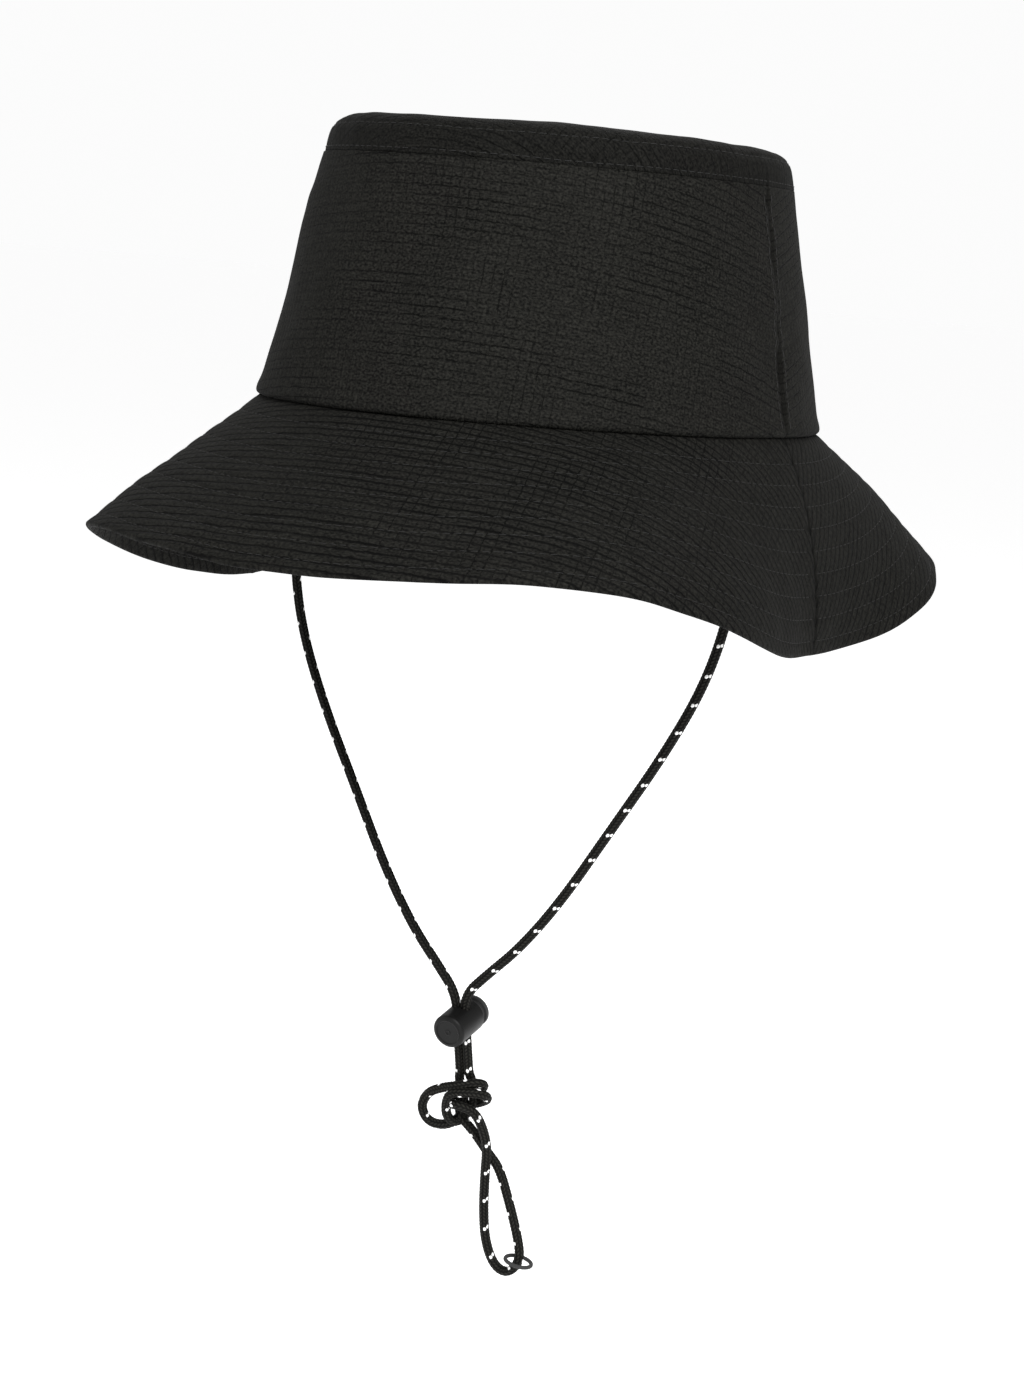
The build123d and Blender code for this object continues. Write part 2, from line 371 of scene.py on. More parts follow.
@dataclass(frozen=True)
class BraidedYarn:
    """The cord's braid: dark yarns, with a few white ones that show as flecks.

    The mesh carries "fleck", 1 on a white yarn, and "ridge", from 0 between yarns to 1 on them.
    """

    name: str = "braided_yarn"
    # dark between the yarns and light on their crowns: painted shade and painted light
    dark: float = 0.0008
    light: float = 0.018
    white: float = 0.80
    warmth: float = 0.08

    def material(self) -> bpy.types.Material:
        """Builds the cord's material."""
        bench = Bench(self.name)
        ridge = bench.attribute("ridge", "Fac")
        fleck = bench.attribute("fleck", "Fac")
        fibre = bench.grain(bench.place(), 3200.0)
        # colour by the braid's relief: painted shade between the yarns, painted light on them, with
        # the fibre's own random tone
        ridge_shade_and_fibre = ridge.ramp(0.5, 1.0) + fibre * 0.5
        yarn = bench.blend(ridge_shade_and_fibre, grey(self.dark, self.warmth), grey(self.light, self.warmth))
        colour = bench.blend(fleck.ramp(0.30, 0.55), yarn, grey(self.white, 0.004))
        return bench.finish(
            Base_Color=colour,
            Roughness=0.62 + fibre * 0.3,
            Specular_IOR_Level=0.08,
            Normal=bench.bump(ridge + fibre * 0.3, 0.12 * MM),
        )


@dataclass(frozen=True)
class MouldedPlastic:
    """Matt moulded plastic with a fine spark-eroded grain and faint smears."""

    name: str
    tint: float
    roughness: float
    grain: float = 0.03 * MM
    shine: float = 0.22

    def material(self) -> bpy.types.Material:
        """Builds the plastic's material."""
        bench = Bench(self.name)
        place = bench.place()
        fine = bench.grain(place, 2200.0, 3.0)
        smear = bench.grain(place, 160.0)
        return bench.finish(
            Base_Color=bench.shaded(self.tint * (1.0 + fine * 0.25 + smear * 0.3), 0.005),
            Roughness=self.roughness + smear * 0.2,
            Specular_IOR_Level=self.shine,
            Normal=bench.bump(fine, self.grain),
        )


@dataclass(frozen=True)
class SpringWire:
    """Drawn steel wire with a little oil on it."""

    name: str = "drawn_steel"

    def material(self) -> bpy.types.Material:
        """Builds the wire's material."""
        bench = Bench(self.name)
        drawn = bench.noise(bench.place(), 900.0, 3.0)
        colour = bench.blend(drawn, grey(0.42), grey(0.62))
        return bench.finish(Base_Color=colour, Metallic=1.0, Roughness=0.25 + drawn * 0.2)


@dataclass(frozen=True)
class PaintedFloor:
    """The pale matt floor."""

    name: str = "painted_floor"
    tint: float = 0.9
    glow: float = 0.47

    def material(self) -> bpy.types.Material:
        """Builds the floor's material."""
        bench = Bench(self.name)
        return bench.finish(
            Base_Color=grey(self.tint),
            Roughness=0.9,
            Specular_IOR_Level=0.1,
            Emission_Color=grey(1.0),
            Emission_Strength=self.glow,
        )


class Finish(Enum):
    """Every finish, with the record's material slot that it stands for."""

    SHELL = ("shell_cloth", RipstopCloth("ripstop_crown"))
    # the same shell cloth for the tip, with its colour darkened: painted shade
    SHELL_TIP_SHADED = (
        "shell_cloth",
        RipstopCloth("ripstop_tip_shaded", across_least=0.35, along_least=0.3, tint=0.0046),
    )
    BRIM = (
        "brim_cloth",
        RipstopCloth(
            "ripstop_brim",
            tint=0.0066,
            # the sunk lines' near-black colour: painted shade in the grooves
            groove_shade_tint=0.0005,
            across_width=0.20,
            along_width=0.07,
            across_least=0.80,
            along_least=0.20,
            broken=0.85,
            patch_size=15 * MM,
            speckle=4.6,
            crinkle_relief_and_shade=1.2,
            sunk=0.34 * MM,
        ),
    )
    STIFFENER = ("stiffener_cloth", PlainWeave("stiffener", tint=0.03, thread_shade_depth=0.3))
    TAPE = ("binding_tape", PlainWeave("seam_tape", tint=0.022, ribbed=True))
    BAND = ("sweatband_cloth", PlainWeave("sweatband", tint=0.015, pitch=0.8 * MM))
    WEBBING = ("tab_webbing", PlainWeave("tab_webbing", tint=0.02, ribbed=True))
    THREAD = ("shell_cloth", SewingThread())
    CORD = ("braided_cord", BraidedYarn())
    BARREL = (
        "lock_plastic",
        MouldedPlastic("barrel_plastic", tint=0.004, roughness=0.45, shine=0.17),
    )
    BUTTON = ("button_plastic", MouldedPlastic("button_plastic", tint=0.005, roughness=0.4))
    SPRING = ("spring_steel", SpringWire())
    RUBBER = ("ring_rubber", MouldedPlastic("ring_rubber", tint=0.003, roughness=0.35, shine=0.12))

    def material(self) -> bpy.types.Material:
        """The finish's material, built once."""
        recipe = self.value[1]
        return bpy.data.materials.get(recipe.name) or recipe.material()


# ---------------------------------------------------------------- meshes


# Large odd numbers that scramble a grid corner's place into an even draw.
SPREAD = np.array([73856093, 19349663, 83492791])
SEED_STEP = 40503
MIXING = ((13, 1274126177), (15, 2246822519))


def soft_noise(places: Points, size: float, seed: int) -> Points:
    """Smooth noise from -1 to 1.

    Args:
        places: points, the last axis being x, y, z.
        size: the distance over which the noise changes.
        seed: picks one noise from many.

    Returns:
        The noise at each point.
    """
    cell = places / size
    low = np.floor(cell).astype(np.int64)
    part = cell - low
    part = part * part * (3 - 2 * part)
    total = np.zeros(places.shape[:-1])
    for corner in product((0, 1), repeat=3):
        spot = low + np.array(corner)
        mixed = seed * SEED_STEP ^ np.bitwise_xor.reduce(spot * SPREAD, axis=-1)
        for shift, factor in MIXING:
            mixed = (mixed ^ (mixed >> shift)) * factor & 0xFFFFFFFF
        share = np.prod(np.where(np.array(corner) == 1, part, 1 - part), axis=-1)
        total += share * (mixed / 2**31 - 1)
    return total


def bell(distance: Points, width: float) -> Points:
    """1 at no distance, and falling smoothly to 0 a few widths away."""
    return np.exp(-((distance / width) ** 2))


@dataclass(frozen=True)
class Ripple:
    """Soft unevenness of a cloth: how far apart its swells lie, how high they are, and its seed."""

    size: float
    height: float
    seed: int

    def over(self, spots: Points) -> Points:
        """Its height at each spot."""
        return soft_noise(spots, self.size, self.seed) * self.height


@dataclass(frozen=True)
class Groove:
    """A line pressed into a cloth: how wide and how deep it is."""

    width: float
    depth: float

    def at(self, distance: Points) -> Points:
        """Its depth at each distance from the line."""
        return bell(distance, self.width) * self.depth


def unit(vectors: Points) -> Points:
    """The same directions, one unit long."""
    return vectors / np.maximum(np.linalg.norm(vectors, axis=-1, keepdims=True), 1e-12)


def run_along(line: Points) -> Points:
    """The length along a line, up to each of its points."""
    steps = np.linalg.norm(np.diff(line, axis=0), axis=1)
    return np.concatenate([[0], np.cumsum(steps)])


def read_along(at: Points, run: Points, line: Points) -> Points:
    """Points of a line, at those lengths along it."""
    return np.stack([np.interp(at, run, line[:, i]) for i in range(3)], axis=-1)


def spokes(first: Points, second: Points, angle: Points) -> Points:
    """Unit directions at those angles in the plane of two directions."""
    return first * np.cos(angle)[..., None] + second * np.sin(angle)[..., None]


def round_turns(count: int) -> Points:
    """Evenly spaced angles once round."""
    return np.linspace(0, FULL_TURN, count, endpoint=False)


def cap(made: bpy.types.Object, rings: list[Points], smooth: bool, turn_out: bool) -> None:
    """Fills rings of points of a finished piece, each with one face.

    Args:
        made: the piece.
        rings: the numbers of each ring's points, in order.
        smooth: whether the new faces shade into their neighbours.
        turn_out: whether all faces are made to look outward afterwards.
    """
    mesh = bmesh.new()
    mesh.from_mesh(made.data)
    mesh.verts.ensure_lookup_table()
    for ring in rings:
        mesh.faces.new([mesh.verts[number] for number in ring]).smooth = smooth
    if turn_out:
        bmesh.ops.recalc_face_normals(mesh, faces=mesh.faces)
    mesh.to_mesh(made.data)
    mesh.free()


@dataclass
class Piece:
    """A mesh being put together, with values that it carries at its points."""

    name: str
    points: list = field(default_factory=list)
    faces: list = field(default_factory=list)
    carried: dict = field(default_factory=dict)
    count: int = 0

    def add(self, points: Points, faces: Points, **carried: Points) -> None:
        """Adds points, and faces that count from the first of them."""
        self.points.append(points.reshape(-1, 3))
        self.faces.append(faces + self.count)
        for key, values in carried.items():
            self.carried.setdefault(key, []).append(values)
        self.count += len(self.points[-1])

    def make(self, finish: Finish, body: str, replaced: tuple[str, ...] = ()) -> bpy.types.Object:
        """Makes the object, dresses it and joins it to its body.

        Args:
            finish: what it is made of.
            body: the body of the frame that it rides on.
            replaced: the nodes of the frame that it stands for.

        Returns:
            The object.
        """
        mesh = bpy.data.meshes.new(self.name)
        faces = [face for block in self.faces for face in block.tolist()]
        mesh.from_pydata(np.concatenate(self.points).tolist(), [], faces)
        for key, blocks in self.carried.items():
            values = np.concatenate(blocks).astype(np.float32)
            flat = values.ndim == 1
            held = mesh.attributes.new(key, "FLOAT" if flat else "FLOAT_VECTOR", "POINT")
            held.data.foreach_set("value" if flat else "vector", values.ravel())
        mesh.shade_smooth()
        mesh.materials.append(finish.material())
        made = bpy.data.objects.new(self.name, mesh)
        bpy.context.scene.collection.objects.link(made)
        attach(made, body)
        if replaced:
            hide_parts(*replaced)
        LOG.info("%s: %d points, %d faces", self.name, self.count, len(faces))
        return made


def grid_faces(rows: int, columns: int, around: bool = False, flip: bool = False) -> Points:
    """Quads over a grid of points.

    Args:
        rows: how many rows of points.
        columns: how many points in a row.
        around: whether each row closes on itself.
        flip: whether the faces look the other way.

    Returns:
        Four point numbers for each face.
    """
    across = np.arange(columns if around else columns - 1)
    row, column = np.meshgrid(np.arange(rows - 1), across, indexing="ij")
    low, high = row * columns, (row + 1) * columns
    beside = (column + 1) % columns
    quads = np.stack([low + column, low + beside, high + beside, high + column], axis=-1)
    quads = quads.reshape(-1, 4)
    return quads[:, ::-1] if flip else quads


def add_sheet(
    piece: Piece,
    outer: Points,
    inner: Points,
    weave: Points,
    around: bool = False,
    top: bool = True,
) -> None:
    """Adds a body between two grids of the same size, closed along its edges.

    Args:
        piece: the piece that gets it.
        outer: the outer grid; its rows run from the front to the wearer's left, and rise.
        inner: the inner grid.
        weave: the cloth's own coordinates on that grid.
        around: whether the rows close on themselves.
        top: whether the last rows are joined.
    """
    rows, columns = outer.shape[:2]
    size = rows * columns
    faces = [
        grid_faces(rows, columns, around),
        grid_faces(rows, columns, around, flip=True) + size,
    ]
    number = np.arange(size).reshape(rows, columns)
    rims = [(number[0], around, True)] + [(number[-1], around, False)] * top
    if not around:
        rims += [(number[:, 0], False, False), (number[:, -1], False, True)]
    for rim, closed, flip in rims:
        strip = grid_faces(2, len(rim), closed, flip)
        faces.append(np.concatenate([rim, rim + size])[strip])
    piece.add(
        np.concatenate([outer.reshape(-1, 3), inner.reshape(-1, 3)]),
        np.concatenate(faces),
        weave=np.concatenate([weave.reshape(-1, 3)] * 2),
    )


def normals_of(grid: Points) -> Points:
    """Unit normals over a grid that closes round, facing out where its rows rise."""
    side = np.roll(grid, -1, axis=1) - np.roll(grid, 1, axis=1)
    return unit(np.cross(side, np.gradient(grid, axis=0)))


# ---------------------------------------------------------------- the hat's shape


class Half(Enum):
    """The two halves between the side seams, with their ends as turns from the front."""

    FRONT = (-math.pi / 2, math.pi / 2)
    BACK = (math.pi / 2, 3 * math.pi / 2)

    def turns(self, count: int) -> Points:
        """Evenly spaced turns from one side seam to the other."""
        return np.linspace(*self.value, count)

    @property
    def label(self) -> str:
        """The half's name in a piece's name."""
        return self.name.lower()


@dataclass(frozen=True)
class HeadOval:
    """The oval of the seam between crown and brim, and lengths along it."""

    x: float = 84.0 * MM
    y: float = 101.5 * MM

    def arc(self, turns: Points) -> Points:
        """Length along the seam from the middle of the half that each turn is in."""
        dense = np.linspace(-math.pi / 2, math.pi / 2, 721)
        speed = np.hypot(self.x * np.cos(dense), self.y * np.sin(dense))
        length = np.concatenate([[0], np.cumsum((speed[1:] + speed[:-1]) / 2 * np.diff(dense))])
        folded = np.where(turns > math.pi / 2, turns - math.pi, turns)
        return np.interp(folded, dense, length - length[len(dense) // 2])

    def half_length(self) -> float:
        """Length of the seam from one side seam to the other."""
        return float(2 * self.arc(np.array(math.pi / 2)))

    def off_side_seam(self, turns: Points) -> Points:
        """How far round each turn is from the nearest side seam."""
        return np.abs(np.abs(self.arc(turns)) - self.half_length() / 2)

    def unroll(self, turns: Points, radius: float, out: Points) -> Points:
        """Flat coordinates on a ring of cloth, its grain straight at the middle of each half.

        Args:
            turns: turns from the front.
            radius: the ring's radius, where the seam's length is true.
            out: distance from the ring's centre.

        Returns:
            The coordinates.
        """
        angle = self.arc(turns) / radius
        return np.stack([out * np.sin(angle), radius - out * np.cos(angle), 0 * angle], axis=-1)


def cloth_spots(flat: Points, turns: Points) -> Points:
    """Places for a cloth's unevenness, from its flat coordinates, apart for front and back."""
    return np.stack([flat[..., 0], flat[..., 1], np.sign(np.cos(turns)) * 0.3], axis=-1)


def step_up(places: Points, middle: float, softness: float) -> Points:
    """Goes softly from 0 to 1 as the places pass the middle."""
    return 1 / (1 + np.exp(-(places - middle) / softness))


@dataclass
class Crown:
    """The crown: two wall panels, the tip above them, and the tapes and band inside.

    Its foot rows are heights near the brim seam, and how far the wall is tucked in there.
    """

    oval: HeadOval = field(default_factory=HeadOval)
    overhang: float = 1.5 * MM
    tip_x: float = 71.5 * MM
    tip_y: float = 84.8 * MM
    height: float = 75.9 * MM
    tip_wall: float = 11.4 * MM
    tip_rise: float = 13.3 * MM
    corner: float = 8.5 * MM
    cloth: float = 1.0 * MM
    air: float = 0.05 * MM
    tape: float = 0.5 * MM
    binding: float = 0.8 * MM
    band: float = 1.15 * MM
    tab: float = 1.1 * MM
    tab_gap: float = 0.6 * MM
    stitch_runs: tuple[float, float] = (1.7 * MM, 9.3 * MM)
    foot_rows: tuple[tuple[float, float], ...] = ((0.05, 0.9), (0.35, 0.35), (0.8, 0.1))
    columns: int = 250
    tip_columns: int = 460
    rows: int = 84

    def radii(self, heights: Points, inward: Points) -> tuple[Points, Points]:
        """Half axes, along x and along y, of the oval that lies that far inside the wall."""
        share = heights / self.height
        foot_x, foot_y = self.oval.x + self.overhang, self.oval.y + self.overhang
        x = foot_x + (self.tip_x - foot_x) * share - inward
        y = foot_y + (self.tip_y - foot_y) * share - inward
        return x, y

    def wall(self, turns: Points, heights: Points, depth: Points) -> Points:
        """Points on an oval that lies some depth inside the wall's outside, dents and all.

        Args:
            turns: turns from the front.
            heights: heights above the brim seam.
            depth: how far in they lie.

        Returns:
            The points.
        """
        x, y = self.radii(heights, depth - self.dents(turns, heights))
        return np.stack([x * np.sin(turns), -y * np.cos(turns), heights + 0 * turns], axis=-1)

    def weave(self, turns: Points, heights: Points) -> Points:
        """The wall cloth's flat coordinates: the wall unrolled."""
        slant = math.hypot(self.height, self.oval.y + self.overhang - self.tip_y)
        gathered = (self.tip_x + self.tip_y) / (self.oval.x + self.oval.y + 2 * self.overhang)
        radius = slant / (1 - gathered)
        return self.oval.unroll(turns, radius, radius - heights * slant / self.height)

    def dents(self, turns: Points, heights: Points) -> Points:
        """How far the soft wall stands out of its even shape."""
        flat = self.weave(turns, heights)
        spot = cloth_spots(flat, turns)
        slack = 0.4 + 0.6 * np.sin(np.clip(heights / self.height, 0, 1) * math.pi)
        out = Ripple(34 * MM, 1.0 * MM, 3).over(spot) * slack
        out = out + Ripple(13 * MM, 0.35 * MM, 5).over(spot) * slack
        out = out + Ripple(8 * MM, 0.14 * MM, 9).over(spot * np.array([0.5, 1.6, 1]))
        out = out + self.drape(flat, turns)
        side = self.oval.off_side_seam(turns)
        pucker = Ripple(3.2 * MM, 0.55 * MM, 21).over(spot * np.array([0.25, 1.0, 1]))
        out = out + bell(side, 5 * MM) * pucker - Groove(0.8 * MM, 0.12 * MM).at(side)
        rounded_foot = Groove(2.6 * MM, 0.5 * MM).at(heights - 2.2 * MM)
        brim_seam = Groove(0.8 * MM, 0.7 * MM).at(heights + 0.3 * MM)
        under_tip = bell(heights - self.height, 2.0 * MM)
        tucked = 0.06 * MM + Ripple(3.5 * MM, 0.16 * MM, 25).over(spot)
        return out + rounded_foot - brim_seam - under_tip * tucked

    def drape(self, flat: Points, turns: Points) -> Points:
        """The slanting soft fold across the front, a valley with a swell beside it."""
        start, end = np.array([-12.0, 24.0]) * MM, np.array([58.0, 78.0]) * MM
        length = np.hypot(*(end - start))
        run = (end - start) / length
        away = flat[..., :2] - start
        on = away @ run
        off = away @ np.array([run[1], -run[0]]) + 5 * MM * np.sin(on / length * math.pi)
        reach = step_up(on, -2 * MM, 5 * MM) * (1 - step_up(on, length, 5 * MM))
        swell = Groove(10 * MM, 1.3 * MM).at(off - 8 * MM)
        valley = Groove(8 * MM, 2.6 * MM).at(off + 5 * MM)
        return (swell - valley) * reach * (np.cos(turns) > 0)

    def build_panels(self) -> None:
        """The wall's front and back cloth."""
        edge, tucked = np.array(self.foot_rows).T
        heights = np.concatenate([edge * MM, np.linspace(1.4 * MM, self.height, self.rows)])
        tuck = np.concatenate([tucked, np.zeros(self.rows)]) * 0.45 * MM
        for half in Half:
            turns, high = np.meshgrid(half.turns(self.columns), heights)
            inset = np.broadcast_to(tuck[:, None], turns.shape)
            piece = Piece(f"crown_{half.label}_cloth")
            outer = self.wall(turns, high, inset)
            inner = self.wall(turns, high, self.cloth + 0 * inset)
            add_sheet(piece, outer, inner, self.weave(turns, high))
            piece.make(Finish.SHELL, "hat", (f"crown_{half.label}_panel",))

    def profile(self, count: int) -> Points:
        """The tip's outside, from its seam to the middle.

        Args:
            count: how many evenly spaced rows it is read at.

        Returns:
            Rows of distance out along y, height and length from the seam.
        """
        slope = (self.oval.y + self.overhang - self.tip_y) / self.height
        rise = np.array([-slope, 1.0]) / math.hypot(slope, 1)
        inward = np.array([-1.0, -slope]) / math.hypot(slope, 1)
        foot = np.array([self.tip_y, self.height])
        crest = foot + np.array([-slope, 1.0]) * self.tip_wall
        drop = self.tip_rise - self.tip_wall
        dome = (crest[0] ** 2 + drop**2) / (2 * drop)
        under = np.array([0.0, self.height + self.tip_rise - dome])
        base = foot + inward * self.corner - under
        reach = base @ rise
        run = -reach + math.sqrt(reach**2 - base @ base + (dome - self.corner) ** 2)
        centre = foot + rise * run + inward * self.corner
        first = math.atan2(-inward[1], -inward[0])
        last = math.atan2(*(centre - under)[::-1])
        level, plumb = np.eye(2)
        bend = spokes(level, plumb, np.linspace(first, last, 60))
        over = spokes(level, plumb, np.linspace(last, math.pi / 2, 60))
        line = np.concatenate([[foot], centre + self.corner * bend, under + dome * over[1:]])
        length = run_along(line)
        even = np.linspace(0, length[-1], count)
        return np.stack([np.interp(even, length, line[:, i]) for i in (0, 1)] + [even], axis=-1)

    def tip(self, turns: Points, profile: Points, lift: float) -> tuple[Points, Points]:
        """Points on the tip, some lift above its even outside, with their cloth coordinates.

        Args:
            turns: turns from the front, a row of them.
            profile: rows of distance out, height and length from the seam.
            lift: how far out of the even shape the points stand.

        Returns:
            The grid of points and the cloth's flat coordinates.
        """
        out, high, run = (profile[:, i][:, None] for i in range(3))
        oval = self.tip_x / self.tip_y
        x, y = out * oval * np.sin(turns), -out * np.cos(turns)
        grid = np.stack([x, y, high + 0 * turns], axis=-1)
        middle_run = self.profile(2)[-1, 2]
        flat = np.stack([oval * np.sin(turns), -np.cos(turns)], axis=-1)
        flat = flat * (middle_run - run)[..., None]
        weave = np.concatenate([flat, 0 * grid[..., :1]], axis=-1)
        normal = normals_of(grid)
        spot = grid * np.array([1.0, 1.0, 0.6])
        slack = 0.35 + 0.65 * step_up(run, 22 * MM, 5 * MM)
        rise = Ripple(30 * MM, 1.0 * MM, 31).over(spot) * slack
        rise = rise + Ripple(10 * MM, 0.25 * MM, 33).over(spot)
        around = np.stack(np.broadcast_arrays(14.0 * turns, 0.03 * run / MM, 0.0), axis=-1)
        pucker = Ripple(0.55, 0.22 * MM, 35).over(around)
        for row in self.stitch_runs:
            away = run - row
            rise = rise + bell(away, 3 * MM) * pucker - Groove(0.7 * MM, 0.28 * MM).at(away)
        beside = self.dents(turns + 0 * run, self.height + 0 * (run + turns))
        near = bell(run, 4 * MM)
        rise = rise * (1 - near) + beside * near - Groove(0.4 * MM, 0.12 * MM).at(run)
        return grid + normal * (rise + lift)[..., None], weave

    def build_tip(self) -> None:
        """The tip's cloth, over the rounded corner and down to its seam."""
        turns = round_turns(self.tip_columns)
        profile = self.profile(90)[:-1]
        outer, weave = self.tip(turns, profile, 0.0)
        inner, _ = self.tip(turns, profile, -self.cloth)
        inner[0, :, 2] = outer[0, :, 2]
        piece = Piece("crown_tip_cloth")
        add_sheet(piece, outer, inner, weave, around=True, top=False)
        made = piece.make(Finish.SHELL_TIP_SHADED, "hat", ("crown_tip",))
        size = len(profile) * self.tip_columns
        ring = np.arange(size - self.tip_columns, size)
        cap(made, [ring, ring[::-1] + size], smooth=True, turn_out=False)

    def build_band(
        self,
        name: str,
        finish: Finish,
        heights: tuple[float, float],
        depth: float,
        thick: float,
        rows: int,
    ) -> None:
        """A ring of tape or cloth inside the wall.

        Args:
            name: the node that it replaces; the piece is named after it.
            finish: its cloth.
            heights: its lower and upper edge.
            depth: how far inside the wall's outside it starts.
            thick: its thickness.
            rows: rows of points across it.
        """
        turns, high = np.meshgrid(round_turns(2 * self.columns), np.linspace(*heights, rows))
        thinned = Groove(0.5 * MM, 0.25 * thick)
        edge = thinned.at(np.minimum(high - heights[0], heights[1] - high))
        low = np.minimum(high, self.height)
        outer = self.wall(turns, low, depth + edge)
        inner = self.wall(turns, low, depth + thick - edge)
        for grid in (outer, inner):
            grid[..., 2] = high
        flat = np.stack([self.oval.arc(turns) + 0 * turns, high, 0 * high], axis=-1)
        piece = Piece(name + "_cloth")
        add_sheet(piece, outer, inner, flat, around=True)
        piece.make(finish, "hat", (name,))

    def build_patch(
        self,
        name: str,
        finish: Finish,
        heights: tuple[float, float],
        depth: float,
        thick: float,
        side: int,
        middle: float,
        width: float,
    ) -> None:
        """A short piece of tape on one side of the hat.

        Args:
            name: the node that it replaces; the piece is named after it.
            finish: its cloth.
            heights: its lower and upper end.
            depth: how far inside the wall's outside it starts.
            thick: its thickness.
            side: 1 for the wearer's left, -1 for the right.
            middle: its middle from front to back, as y.
            width: its width.
        """
        y = np.linspace(middle - width / 2, middle + width / 2, 25)
        y, high = np.meshgrid(y, np.linspace(*heights, 30))
        turns = side * np.arccos(np.clip(-y / self.oval.y, -1, 1))
        turns = np.where(turns < -math.pi / 2, turns + FULL_TURN, turns)
        grids = []
        for inward in (depth, depth + thick):
            dent = self.dents(turns, np.maximum(high, 0))
            rx, ry = self.radii(high, inward)
            x = side * (rx * np.sqrt(1 - (y / ry) ** 2) + dent)
            grids.append(np.stack([x, y, high], axis=-1))
        if side < 0:
            grids = [grid[:, ::-1] for grid in grids]
        piece = Piece(name + "_cloth")
        add_sheet(piece, *grids, np.stack([y, high, 0 * y], axis=-1))
        piece.make(finish, "hat", (name,))

    def build_inside(self) -> None:
        """The tapes over the seams, the binding, the sweatband and the tabs for the cord."""
        behind = self.cloth + self.air
        band_depth = behind + self.binding + self.air
        tab_depth = band_depth + self.band + self.tab_gap
        tip_tape = (self.height - 6 * MM, self.height + 3 * MM)
        for name, finish, heights, depth, thick, rows in (
            ("tip_seam_tape", Finish.TAPE, tip_tape, behind, self.tape, 14),
            ("head_seam_binding", Finish.TAPE, (0.0, 7 * MM), behind, self.binding, 12),
            ("sweatband", Finish.BAND, (0.0, 31 * MM), band_depth, self.band, 34),
        ):
            self.build_band(name, finish, heights, depth, thick, rows)
        side_tape, tab_heights = (32 * MM, 69 * MM), (-2 * MM, 9 * MM)
        for side, label in ((1, "left"), (-1, "right")):
            for name, finish, heights, depth, thick, middle, width in (
                ("side_seam_tape", Finish.TAPE, side_tape, behind, self.tape, 0.0, 9 * MM),
                ("cord_tab", Finish.WEBBING, tab_heights, tab_depth, self.tab, -15 * MM, 8 * MM),
            ):
                node = f"{name}_{label}"
                self.build_patch(node, finish, heights, depth, thick, side, middle, width)


